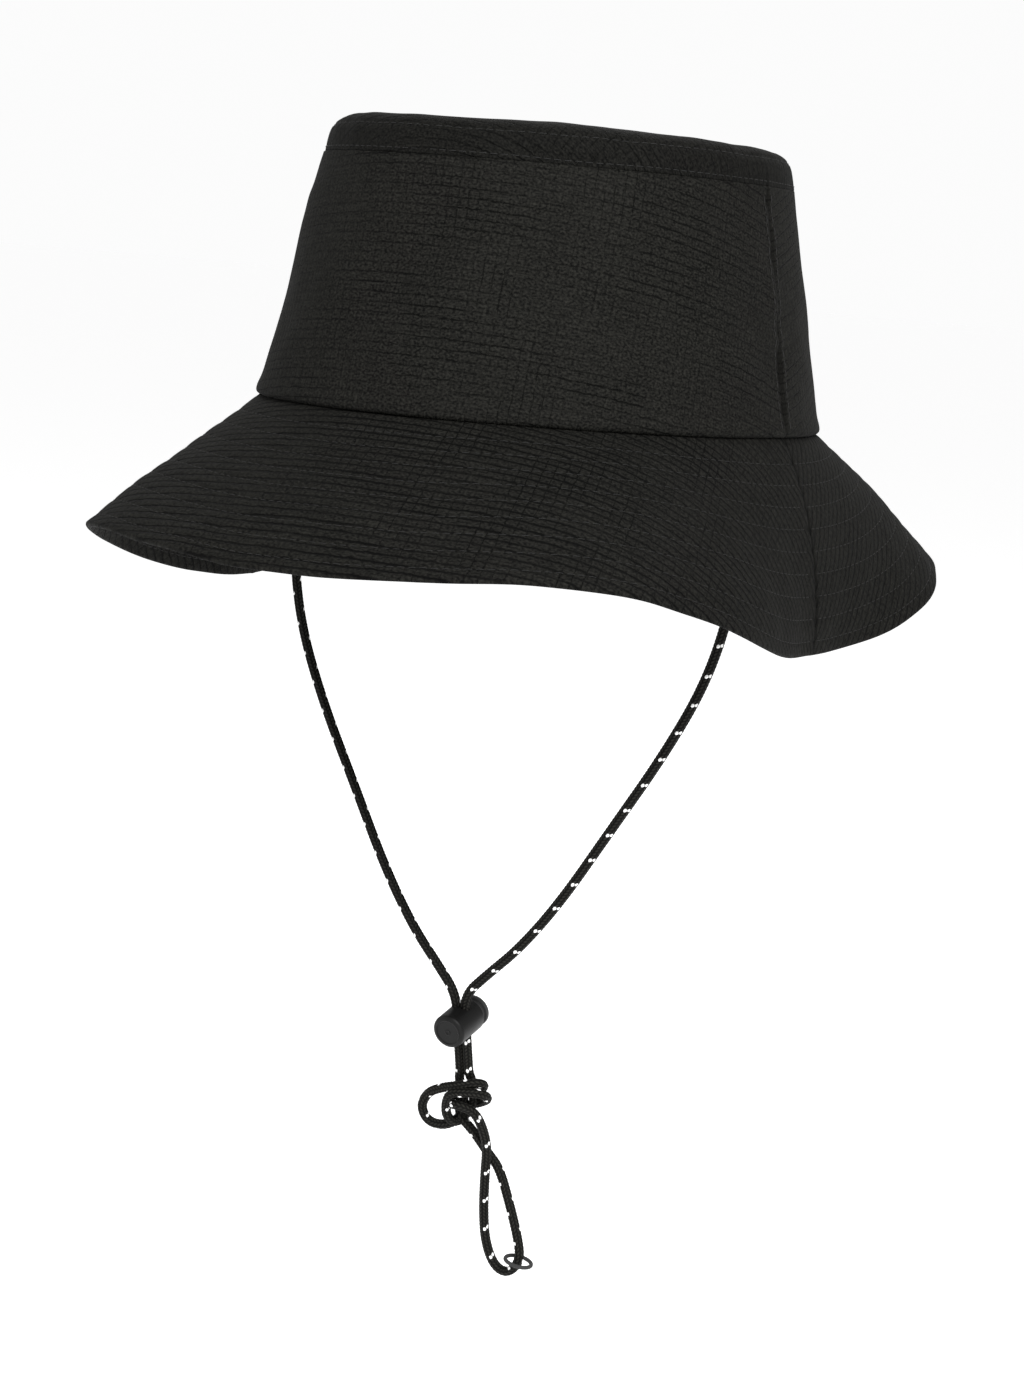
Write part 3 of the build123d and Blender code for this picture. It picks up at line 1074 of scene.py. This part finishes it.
@dataclass
class Brim:
    """The brim: upper cloth, stiffener and under cloth, quilted together with rows of stitches."""

    oval: HeadOval = field(default_factory=HeadOval)
    width: float = 67.5 * MM
    shelf: float = 1.5 * MM
    layer: float = 0.55 * MM
    step: float = 0.6 * MM
    top: float = 0.925 * MM
    droop: float = 47.0
    droop_front: float = 3.0
    droop_sides: float = -18.5
    droop_quarters: float = 8.0
    droop_left: float = 2.5
    droop_twist: float = -2.0
    curl: float = 14.5
    curl_sides: float = -6.5
    curl_left: float = 10.0
    stitch_rows: int = 9
    first_row: float = 8.0 * MM
    edge_row: float = 4.6 * MM
    edge_bend: tuple[float, ...] = (15, 30, 45, 60, 75, 88)
    columns: int = 300
    rows: int = 92

    def angle(self, turns: Points, share: Points) -> Points:
        """How steeply the brim falls, in radians."""
        droop = self.droop + self.droop_front * np.cos(turns) + self.droop_left * np.sin(turns)
        droop = droop + self.droop_sides * np.cos(2 * turns) + self.droop_twist * np.sin(2 * turns)
        droop = droop + self.droop_quarters * np.cos(4 * turns)
        curl = self.curl + self.curl_sides * np.cos(2 * turns) + self.curl_left * np.sin(turns)
        return np.radians(droop + curl * (share - 0.5))

    def surface(self, turns: Points, share: Points, lift: Points, quilt: float = 0.0) -> Points:
        """Points on the brim.

        Args:
            turns: turns from the front.
            share: shares of the width; below 0 is the shelf under the crown.
            lift: height above the brim's middle surface.
            quilt: how much of the quilting's puff the points take, 1 above and -1 below.

        Returns:
            The points.
        """
        wave, puff = self.waves(turns, share)
        lift = lift + wave + puff * quilt
        start, here = self.angle(turns, 0 * share), self.angle(turns, np.maximum(share, 0))
        bend = (self.angle(turns, 0 * share + 1) - start) / self.width
        tilt = np.clip(share * 30, 0, 1)
        out = (np.sin(here) - np.sin(start)) / bend + lift * np.sin(here) * tilt
        fall = (np.cos(start) - np.cos(here)) / bend - lift * (1 + (np.cos(here) - 1) * tilt)
        out = out + np.minimum(share, 0) * self.width
        square = [np.sin(turns) / self.oval.x, -np.cos(turns) / self.oval.y]
        normal = unit(np.stack(square, axis=-1))
        place = np.stack([self.oval.x * np.sin(turns), -self.oval.y * np.cos(turns)], axis=-1)
        flat = place + normal * out[..., None]
        return np.concatenate([flat, (-self.top - fall)[..., None]], axis=-1)

    def weave(self, turns: Points, share: Points) -> Points:
        """The brim cloth's flat coordinates: a flat ring."""
        half = self.oval.half_length()
        dense = np.linspace(-math.pi / 2, math.pi / 2, 361)
        fall = self.angle(dense, 0 * dense + 0.5)
        spread = float(np.mean(np.cos(fall))) * self.width * math.pi
        radius = half * self.width / spread
        return self.oval.unroll(turns, radius, radius + share * self.width)

    def row_shares(self) -> Points:
        """The stitch rows, as shares of the brim's width."""
        last = self.width - self.edge_row
        return np.linspace(self.first_row, last, self.stitch_rows) / self.width

    def waves(self, turns: Points, share: Points) -> tuple[Points, Points]:
        """How far the brim stands off its even shape, and how its cloths puff between rows."""
        spot = cloth_spots(self.weave(turns, np.maximum(share, 0)), turns)
        seam = self.oval.off_side_seam(turns)
        free = np.clip(share, 0, 1) * np.clip(seam / (12 * MM), 0, 1) ** 0.5
        wave = Ripple(38 * MM, 1.3 * MM, 41).over(spot) + Ripple(15 * MM, 0.5 * MM, 43).over(spot)
        near = np.abs(share[..., None] - self.row_shares()).min(axis=-1) * self.width
        pitch = (self.width - self.edge_row - self.first_row) / (self.stitch_rows - 1)
        swell = 0.16 * MM * np.sin(np.clip(near / (pitch / 2), 0, 1) * math.pi / 2)
        puff = swell - Groove(0.55 * MM, 0.16 * MM).at(near)
        pucker = Ripple(3.4 * MM, 0.10 * MM, 47).over(spot * np.array([1.0, 0.45, 1.0]))
        puff = puff + pucker * np.clip(share * 40, 0, 1)
        puff = puff - Groove(0.8 * MM, 0.14 * MM).at(seam) * np.clip(share * 20, 0, 1)
        return wave * free, puff * np.clip((1 - share) * 60, 0, 1)

    def build_layer(self, half: Half, label: str, side: int) -> None:
        """One cloth of the brim, turned round the edge.

        Args:
            half: the front or the back half.
            label: the layer's name, as in its node.
            side: 1 for the upper cloth, 0 for the stiffener and -1 for the under cloth.
        """
        outside = self.step + self.layer / 2
        inside = self.step - self.layer / 2
        if side == 0:
            edge = 1 - 2 * outside / self.width
            shares = np.linspace(-self.shelf / self.width, edge, self.rows // 2)
            upper = np.full(shares.shape, self.layer / 2)
            lower = -upper
            upper_shares = lower_shares = shares
            quilt = 0.0
        else:
            shelf = np.linspace(-self.shelf, 0, 4) / self.width
            plain = np.linspace(0, 1 - outside / self.width, self.rows)[1:]
            bend = np.radians(self.edge_bend)
            still = np.ones(len(shelf) + len(plain))
            (upper_shares, upper), (lower_shares, lower) = (
                (
                    np.concatenate([shelf, plain, plain[-1] + off / self.width * np.sin(bend)]),
                    side * np.concatenate([still, np.cos(bend)]) * off,
                )
                for off in (outside, inside)
            )
            quilt = float(side)
        turns = half.turns(self.columns)
        grids = []
        for shares, lifts, puffed in ((upper_shares, upper, quilt), (lower_shares, lower, 0.0)):
            turn, share = np.meshgrid(turns, shares)
            grids.append(self.surface(turn, share, lifts[:, None] + 0 * turn, puffed))
        weave = self.weave(*np.meshgrid(turns, upper_shares))
        if side >= 0:
            grids = [grid[::-1] for grid in grids]
            weave = weave[::-1]
        piece = Piece(f"brim_{label}_{half.label}_cloth")
        add_sheet(piece, *grids, weave)
        finish = Finish.STIFFENER if side == 0 else Finish.BRIM
        piece.make(finish, "hat", (f"brim_{label}_{half.label}",))

    def build(self) -> None:
        """Every layer of both halves."""
        for half in Half:
            for label, side in (("upper", 1), ("stiffener", 0), ("under", -1)):
                self.build_layer(half, label, side)


@dataclass
class Stitching:
    """Rows of stitches on the cloth, each a short thread that dips in at both ends.

    Its outline gives shares of its length, with the height and the girth there in threads.
    """

    crown: Crown
    brim: Brim
    length: float = 2.5 * MM
    gap: float = 0.65 * MM
    thick: float = 0.26 * MM
    sides: int = 6
    reach: float = 0.004
    outline: tuple[tuple[float, float, float], ...] = (
        (0.0, -0.55, 0.55),
        (0.14, 0.1, 0.9),
        (0.5, 0.42, 1.0),
        (0.86, 0.1, 0.9),
        (1.0, -0.55, 0.55),
    )

    def lay(self, piece: Piece, line: Points, normal: Points) -> None:
        """Lays stitches along a line on the cloth.

        Args:
            piece: the piece that gets the stitches.
            line: points close together along the row.
            normal: the cloth's unit normals there.
        """
        run = run_along(line)
        pitch = self.length + self.gap
        starts = np.arange(self.gap / 2, run[-1] - pitch, pitch)
        stations, heights, girths = np.array(self.outline).T
        at = starts[:, None] + stations * self.length
        place, up = read_along(at, run, line), read_along(at, run, normal)
        place = place + up * (heights * self.thick)[:, None]
        forward = unit(place[:, -1:] - place[:, :1])
        across = unit(np.cross(forward, up))
        ring = spokes(across[:, :, None], up[:, :, None], round_turns(self.sides))
        points = place[:, :, None] + ring * (girths * self.thick / 2)[:, None, None]
        rings = len(stations)
        one = grid_faces(rings, self.sides, around=True)
        last = self.sides * (rings - 1)
        caps = np.array(
            [[3, 2, 1, 0], [5, 4, 3, 0], [last, last + 1, last + 2, last + 3],
             [last, last + 3, last + 4, last + 5]]
        )
        one = np.concatenate([one[:, ::-1] if self.facing(points[0]) else one, caps])
        faces = np.arange(len(starts))[:, None, None] * rings * self.sides + one
        piece.add(points, faces.reshape(-1, 4))

    @staticmethod
    def facing(stitch: Points) -> bool:
        """Whether a stitch's side faces would look inward."""
        normal = np.cross(stitch[1, 0] - stitch[0, 0], stitch[0, 1] - stitch[0, 0])
        return bool(normal @ (stitch[0, 0] - stitch[0].mean(axis=0)) > 0)

    def on_surface(
        self, surface: Callable[[Points, float], Points], turns: Points, across: float, out: float
    ) -> tuple[Points, Points]:
        """A line of points on a surface, and its unit normals.

        Args:
            surface: gives points for turns and a place across.
            turns: turns from the front.
            across: the row's place across the surface.
            out: 1 or -1, the way that the normals point.

        Returns:
            The points and the normals.
        """
        here = surface(turns, across)
        beside = surface(turns, across + self.reach)
        ahead = surface(turns + self.reach, across)
        return here, out * unit(np.cross(ahead - here, beside - here))

    def build_brim(self) -> None:
        """The brim's rows, above and below, on each half."""
        for half in Half:
            for label, side in (("upper", 1), ("under", -1)):
                piece = Piece(f"brim_{half.label}_stitches_{label}")
                lift = side * (self.brim.step + self.brim.layer / 2)

                def surface(turns: Points, share: float) -> Points:
                    """The brim's cloth on that side."""
                    share = np.full(turns.shape, share)
                    return self.brim.surface(turns, share, 0 * turns + lift, float(side))

                turns = half.turns(1500)[6:-6]
                for share in self.brim.row_shares():
                    self.lay(piece, *self.on_surface(surface, turns, share, -float(side)))
                piece.make(Finish.THREAD, "hat")

    def build_tip(self) -> None:
        """The two rows round the tip."""
        profile = self.crown.profile(400)
        grid, _ = self.crown.tip(round_turns(2000), profile, 0.0)
        normal = normals_of(grid)
        piece = Piece("tip_stitches")
        for run in self.crown.stitch_runs:
            row = int(np.abs(profile[:, 2] - run).argmin())
            self.lay(piece, grid[row], normal[row])
        piece.make(Finish.THREAD, "hat")

    def build_sides(self) -> None:
        """A row each side of both side seams of the crown."""
        piece = Piece("side_seam_stitches")
        heights = np.linspace(2.5 * MM, self.crown.height - 1.5 * MM, 400)
        for middle, half in product((-math.pi / 2, math.pi / 2), (-1, 1)):
            turns = np.full(heights.shape, middle + half * 2.6 * MM / self.crown.oval.y)
            line = self.crown.wall(turns, heights, 0 * heights)
            normal = np.stack([np.sin(turns), -np.cos(turns), 0 * turns + 0.17], axis=-1)
            self.lay(piece, line, unit(normal))
        piece.make(Finish.THREAD, "hat")

    def build_band(self) -> None:
        """The row that holds the sweatband, near its lower edge."""
        turns = round_turns(1600)
        heights = np.full(turns.shape, 3.2 * MM)
        crown = self.crown
        depth = crown.cloth + 2 * crown.air + crown.binding + crown.band
        line = crown.wall(turns, heights, depth + 0 * turns)
        normal = np.stack([-np.sin(turns), np.cos(turns), 0 * turns], axis=-1)
        piece = Piece("sweatband_stitches")
        self.lay(piece, line, normal)
        piece.make(Finish.THREAD, "hat")

    def build(self) -> None:
        """Every row."""
        self.build_brim()
        self.build_tip()
        self.build_sides()
        self.build_band()


# ---------------------------------------------------------------- the chin cord


LOCK_PLACE = (2.3, -25.0, -195.5)
LOCK_TILT = math.radians(15.0)


@dataclass
class ChinCord:
    """One braided cord: from the left tab through lock and knot, round the end loop, and back."""

    diameter: float = 3.0 * MM
    pair: float = 1.55 * MM
    lean: float = 0.0118
    lock_runs: tuple[float, ...] = (-9.5, 1.5, 9.0, 14.0, 18.2)
    sides: int = 36
    stride: float = 0.27 * MM
    yarn_columns: int = 8
    yarn_pitch: float = 1.25 * MM
    yarn_height: float = 0.24 * MM
    yarn_lean: float = 0.85
    yarn_reach: float = 0.56
    yarn_sink: float = 0.55
    fleck_pitch: float = 9.6 * MM
    fleck_starts: tuple[int, int] = (0, 4)
    fleck_size: tuple[float, float] = (0.47, 0.52)

    def strand(self, side: int) -> list[tuple[float, float, float]]:
        """Points from the tab down into the lock, in millimetres: left is 1, right is -1."""
        points = [
            (79.9, -15.0, -3.5),
            (81.2, -15.6, -25.0),
            (79.8, -17.2, -50.0),
            (74.4, -19.2, -75.0),
            (62.8, -21.2, -99.5),
            (46.9, -22.9, -126.2),
            (32.4, -24.6, -150.8),
            (19.8, -25.9, -167.8),
            (9.3, -26.8, -178.2),
        ]
        route = [(side * x - self.lean * z, y, z) for x, y, z in points]
        middle = np.array(LOCK_PLACE) + (side * self.pair / MM, 0, 0)
        down = np.array([0.0, math.sin(LOCK_TILT), -math.cos(LOCK_TILT)])
        return route + [tuple(middle + down * run) for run in self.lock_runs]

    def tight_turn(self) -> list[tuple[float, float, float]]:
        """The left strand's way through the knot, in millimetres: a small tight turn."""
        return [
            (3.9, -18.0, -215.9),
            (4.6, -16.0, -221.0),
            (3.3, -15.6, -226.6),
            (0.0, -18.4, -231.4),
            (-2.3, -21.4, -229.2),
            (-2.1, -23.2, -223.9),
            (0.1, -24.8, -219.8),
            (5.3, -24.6, -218.8),
            (9.7, -21.8, -218.8),
            (10.4, -17.4, -221.0),
            (6.8, -13.8, -223.7),
            (1.7, -13.6, -225.7),
            (-0.7, -16.6, -226.9),
            (1.3, -18.2, -229.2),
        ]

    def wide_turn(self) -> list[tuple[float, float, float]]:
        """The right strand's way through the knot, in millimetres: an open eye, then a turn."""
        return [
            (-0.5, -18.4, -216.9),
            (1.4, -16.8, -223.1),
            (0.9, -17.8, -229.4),
            (-3.5, -19.6, -232.6),
            (-9.6, -20.4, -232.4),
            (-12.7, -20.8, -227.6),
            (-9.9, -21.4, -222.2),
            (-3.9, -22.8, -219.2),
            (2.3, -24.0, -217.2),
            (7.4, -22.2, -215.6),
            (8.9, -18.4, -216.6),
            (6.7, -14.8, -219.0),
            (1.4, -13.4, -221.4),
            (-2.8, -16.8, -223.5),
            (-1.8, -21.4, -224.5),
            (2.8, -24.2, -223.5),
            (7.0, -21.2, -225.1),
        ]

    def end_loop(self) -> list[tuple[float, float, float]]:
        """The loop under the knot, in millimetres, from its leg behind to its leg in front."""
        return [
            (4.6, -15.4, -233.5),
            (8.6, -11.4, -241.0),
            (12.4, -9.7, -245.7),
            (16.6, -9.4, -255.8),
            (20.6, -9.3, -266.2),
            (22.8, -9.2, -274.8),
            (18.3, -9.0, -280.5),
            (12.9, -9.2, -278.7),
            (9.4, -10.0, -270.7),
            (8.5, -11.2, -259.7),
            (9.1, -13.2, -247.5),
            (10.1, -15.0, -237.9),
            (8.8, -17.8, -230.0),
        ]

    def route(self) -> list[tuple[float, float, float]]:
        """The whole cord's control points, in metres."""
        points = (
            self.strand(1)
            + self.tight_turn()
            + self.end_loop()
            + self.wide_turn()[::-1]
            + self.strand(-1)[::-1]
        )
        return [tuple(MM * value for value in point) for point in points]

    def centreline(self) -> Points:
        """Points read from the cord's smooth line."""
        curve = bpy.data.curves.new("chin_cord_line", "CURVE")
        curve.dimensions = "3D"
        curve.resolution_u = 40
        spline = curve.splines.new("NURBS")
        route = self.route()
        spline.points.add(len(route) - 1)
        for point, place in zip(spline.points, route):
            point.co = (*place, 1.0)
        spline.order_u = 3
        spline.use_endpoint_u = True
        holder = bpy.data.objects.new("chin_cord_line", curve)
        bpy.context.scene.collection.objects.link(holder)
        bpy.context.view_layer.update()
        read = bpy.data.meshes.new_from_object(holder)
        line = np.array([vertex.co for vertex in read.vertices])
        bpy.data.objects.remove(holder)
        bpy.data.curves.remove(curve)
        bpy.data.meshes.remove(read)
        return line

    def frames(self, line: Points) -> tuple[Points, Points]:
        """Two directions square to the line at each point, that don't twist about it."""
        ahead = unit(np.gradient(line, axis=0))
        first = np.zeros_like(line)
        side = np.cross(ahead[0], (0, 1, 0))
        for i, direction in enumerate(ahead):
            side = unit(side - direction * (side @ direction))
            first[i] = side
        return first, np.cross(ahead, first)

    def braid(self, run: Points, turn: Points) -> tuple[Points, Points]:
        """The braid's relief and its white flecks.

        Args:
            run: length along the cord.
            turn: turn about it, from 0 to 1.

        Returns:
            ridge, from 0 between yarns to 1 on them, and fleck, 1 on a white yarn.
        """
        column = turn * self.yarn_columns
        number = np.floor(column)
        inside = column - number - 0.5
        lean = np.where(number % 2 == 0, 1.0, -1.0)
        straight = run / self.yarn_pitch + 0.5 * (number % 2)
        phase = straight + lean * inside * self.yarn_lean
        along = phase - np.floor(phase) - 0.5
        round_over = np.sqrt(np.clip(1 - (along / 0.5) ** 2, 0, 1))
        ridge = round_over * np.clip(1 - (np.abs(inside) / self.yarn_reach) ** 3, 0, 1)
        spot = np.floor(straight)
        away = straight - spot - 0.5
        period = round(self.fleck_pitch / self.yarn_pitch)
        fleck = np.zeros_like(ridge)
        for start, at in zip(self.fleck_starts, (0, period // 2)):
            step = (spot - at) % period
            for beside in (0, 1):
                fleck = np.where((number == start + beside) & (step == beside), 1.0, fleck)
        wide, long = self.fleck_size
        oval = 1 - (inside / wide) ** 2 - (away / long) ** 2
        return ridge, fleck * np.clip(oval * 3, 0, 1)

    def build(self, companions: list[bpy.types.Object]) -> None:
        """Args:
            companions: the separate pieces that are threaded on it; not used.
        """
        read = self.centreline()
        length = run_along(read)
        count = int(length[-1] / self.stride)
        run = np.linspace(0, length[-1], count)
        line = read_along(run, length, read)
        first, second = self.frames(line)
        turn = np.arange(self.sides) / self.sides
        ridge, fleck = self.braid(run[:, None] + 0 * turn, turn[None, :] + 0 * run[:, None])
        radius = self.diameter / 2 - self.yarn_height * self.yarn_sink + ridge * self.yarn_height
        ring = spokes(first[:, None], second[:, None], turn * FULL_TURN)
        tube = line[:, None] + ring * radius[..., None]
        faces = grid_faces(count, self.sides, around=True)
        piece = Piece("chin_cord_braid")
        piece.add(tube, faces, ridge=ridge.ravel(), fleck=fleck.ravel())
        made = piece.make(
            Finish.CORD,
            "chin_cord",
            ("cord_strand_left", "cord_strand_right", "cord_knot", "cord_end_loop"),
        )
        end = np.arange(self.sides)
        cap(made, [end[::-1], end + (count - 1) * self.sides], smooth=False, turn_out=True)
        LOG.info("the cord is %.4f m long", length[-1])


@dataclass
class CordLock:
    """The cord lock's details, and the finishes of its nodes and of the ring."""

    back: float = -9.0
    coil_steps: int = 260
    coil_sides: int = 12
    spring_foot: float = -7.1 * MM
    spring_length: float = 3.5 * MM
    spring_radius: float = 3.2 * MM
    spring_wire: float = 0.5 * MM
    spring_turns: float = 3.5
    press: float = 2.0 * MM

    def dress(self, nodes: dict[str, bpy.types.Object]) -> None:
        """Gives the frame's own nodes their finishes."""
        finishes = {
            "lock_barrel": Finish.BARREL,
            "lock_button": Finish.BUTTON,
            "cord_ring": Finish.RUBBER,
        }
        for name, finish in finishes.items():
            node = nodes[name]
            node.data.materials.clear()
            node.data.materials.append(finish.material())

    def lathe(self, piece: Piece, outline: list[tuple[float, float]], sides: int = 72) -> None:
        """Turns an outline about the lock's axis.

        Args:
            piece: the piece that gets it.
            outline: closed pairs of radius and place along the axis, in millimetres.
            sides: points around.
        """
        middle, axis, side, up = self.directions()
        ring = spokes(side, up, round_turns(sides))
        shape = np.array(outline + outline[:1]) * MM
        points = middle + ring * shape[:, 0, None, None] + axis * shape[:, 1, None, None]
        piece.add(points, grid_faces(len(shape), sides, around=True))

    def directions(self) -> tuple[Points, Points, Points, Points]:
        """The lock's middle, its axis toward the button, and two directions square to that."""
        axis = np.array([0.0, math.cos(LOCK_TILT), math.sin(LOCK_TILT)])
        side = np.array([1.0, 0.0, 0.0])
        return np.array(LOCK_PLACE) * MM, axis, side, np.cross(axis, side)

    def build_spring(self) -> bpy.types.Object:
        """The coil behind the button's stem, built at one fixed length.

        Returns:
            The coil.
        """
        middle, axis, side, up = self.directions()
        share = np.linspace(0, 1, self.coil_steps)
        spoke = spokes(side, up, share * self.spring_turns * FULL_TURN)
        foot = middle + axis * self.spring_foot
        line = foot + axis * (share * self.spring_length)[:, None] + spoke * self.spring_radius
        rounded = np.sqrt(np.clip(np.minimum(share, 1 - share) * 90, 0.002, 1))
        girth = self.spring_wire / 2 * rounded
        ring = spokes(spoke[:, None], axis, round_turns(self.coil_sides))
        faces = grid_faces(self.coil_steps, self.coil_sides, around=True)
        piece = Piece("lock_spring_coil")
        piece.add(line[:, None] + ring * girth[:, None, None], faces)
        made = piece.make(Finish.SPRING, "cord_lock", ("lock_spring",))
        tuple(axis)
        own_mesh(made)
        return made

    def build(self) -> None:
        """The raised rim round the closed end, and the small mark in its middle."""
        piece = Piece("lock_end_rim")
        rim = [(4.5, 0.1), (4.5, -0.12), (4.42, -0.2), (4.0, -0.2), (3.92, -0.1), (3.9, 0.1)]
        mark = [(0.95, 0.1), (0.95, -0.1), (0.85, -0.16), (0.55, -0.16), (0.5, -0.05), (0.45, 0.1)]
        for outline in (rim, mark):
            self.lathe(piece, [(radius, self.back + out) for radius, out in outline])
        piece.make(Finish.BARREL, "cord_lock")


# ---------------------------------------------------------------- the studio


@dataclass
class Studio:
    """Camera, soft lights and the pale floor."""

    azimuth: float = math.radians(28.0)
    elevation: float = math.radians(2.7)
    distance: float = 1.0
    roll: float = math.radians(4.7)
    aim_right: float = 30.0
    aim_up: float = 284.5
    focal: float = 3110.0
    picture_width: int = 1024
    sensor: float = 36.0
    floor_height: float = -0.33
    floor_reach: float = 40.0
    surround_strength: float = 0.55
    seen_strength: float = 0.97

    def toward(self, azimuth: float, elevation: float) -> Vector:
        """A unit vector from the hat, for an azimuth from the front and an elevation."""
        level = math.cos(elevation)
        return Vector((math.sin(azimuth) * level, -math.cos(azimuth) * level, math.sin(elevation)))

    def build_camera(self) -> None:
        """The camera, with the hat's origin above the middle of the picture."""
        lens = bpy.data.cameras.new("camera")
        lens.sensor_fit = "HORIZONTAL"
        lens.sensor_width = self.sensor
        lens.lens = self.sensor * self.focal / self.picture_width
        lens.clip_start, lens.clip_end = 0.05, 100.0
        camera = bpy.data.objects.new("camera", lens)
        bpy.context.scene.collection.objects.link(camera)
        place = self.toward(self.azimuth, self.elevation) * self.distance
        look = (-place).to_track_quat("-Z", "Y").to_matrix()
        off = Vector((self.aim_right, self.aim_up, -self.focal)).normalized()
        turn = Vector((0, 0, -1)).rotation_difference(off).to_matrix()
        aim = look @ Matrix.Rotation(self.roll, 3, "Z") @ turn.inverted()
        camera.matrix_world = Matrix.Translation(place) @ aim.to_4x4()
        bpy.context.scene.camera = camera

    def build_light(
        self, name: str, azimuth: float, elevation: float, away: float, size: float, power: float
    ) -> None:
        """A square soft light that faces the hat.

        Args:
            name: its name.
            azimuth: degrees from the front of the hat.
            elevation: degrees above level.
            away: its distance.
            size: its side.
            power: its watts.
        """
        lamp = bpy.data.lights.new(name, "AREA")
        lamp.size, lamp.energy = size, power
        made = bpy.data.objects.new(name, lamp)
        bpy.context.scene.collection.objects.link(made)
        made.location = self.toward(math.radians(azimuth), math.radians(elevation)) * away
        made.rotation_euler = (-made.location).to_track_quat("-Z", "Y").to_euler()

    def build_surroundings(self) -> None:
        """The floor, and an even pale surround that also fills the shadows."""
        mesh = bpy.data.meshes.new("floor")
        reach = self.floor_reach
        corners = ((-reach, -reach), (reach, -reach), (reach, reach), (-reach, reach))
        mesh.from_pydata([(x, y, self.floor_height) for x, y in corners], [], [(0, 1, 2, 3)])
        mesh.materials.append(PaintedFloor().material())
        floor = bpy.data.objects.new("floor", mesh)
        bpy.context.scene.collection.objects.link(floor)
        world = bpy.data.worlds.new("surround")
        bpy.context.scene.world = world
        world.use_nodes = True
        tree = world.node_tree
        seen = tree.nodes["Background"]
        seen.inputs["Strength"].default_value = self.seen_strength
        light = tree.nodes.new("ShaderNodeBackground")
        light.inputs["Strength"].default_value = self.surround_strength
        for shader in (seen, light):
            shader.inputs["Color"].default_value = grey(1.0)
        choice = tree.nodes.new("ShaderNodeMixShader")
        rays = tree.nodes.new("ShaderNodeLightPath")
        tree.links.new(rays.outputs["Is Camera Ray"], choice.inputs[0])
        tree.links.new(light.outputs[0], choice.inputs[1])
        tree.links.new(seen.outputs[0], choice.inputs[2])
        tree.links.new(choice.outputs[0], tree.nodes["World Output"].inputs["Surface"])

    def build(self) -> None:
        """Everything around the hat."""
        self.build_camera()
        for name, azimuth, elevation, away, size, power in (
            ("key", 42.0, 38.0, 1.6, 0.9, 38.0),
            ("fill", -60.0, 25.0, 1.8, 1.4, 6.0),
            ("rear", 200.0, 50.0, 1.8, 1.2, 12.0),
        ):
            self.build_light(name, azimuth, elevation, away, size, power)
        self.build_surroundings()
        bpy.context.scene.view_settings.view_transform = "Standard"


def main() -> None:
    """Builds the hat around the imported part, piece by piece."""
    logging.basicConfig(level=logging.INFO, format="%(name)s: %(message)s")
    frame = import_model()
    nodes = frame["nodes"]
    Studio().build()
    lock = CordLock()
    lock.dress(nodes)
    lock.build()
    spring = lock.build_spring()
    threaded = [nodes[name] for name in ("lock_barrel", "lock_button", "cord_ring")]
    ChinCord().build(threaded + [spring])
    crown, brim = Crown(), Brim()
    crown.build_panels()
    crown.build_tip()
    crown.build_inside()
    brim.build()
    Stitching(crown, brim).build()


if __name__ == "__main__":
    main()
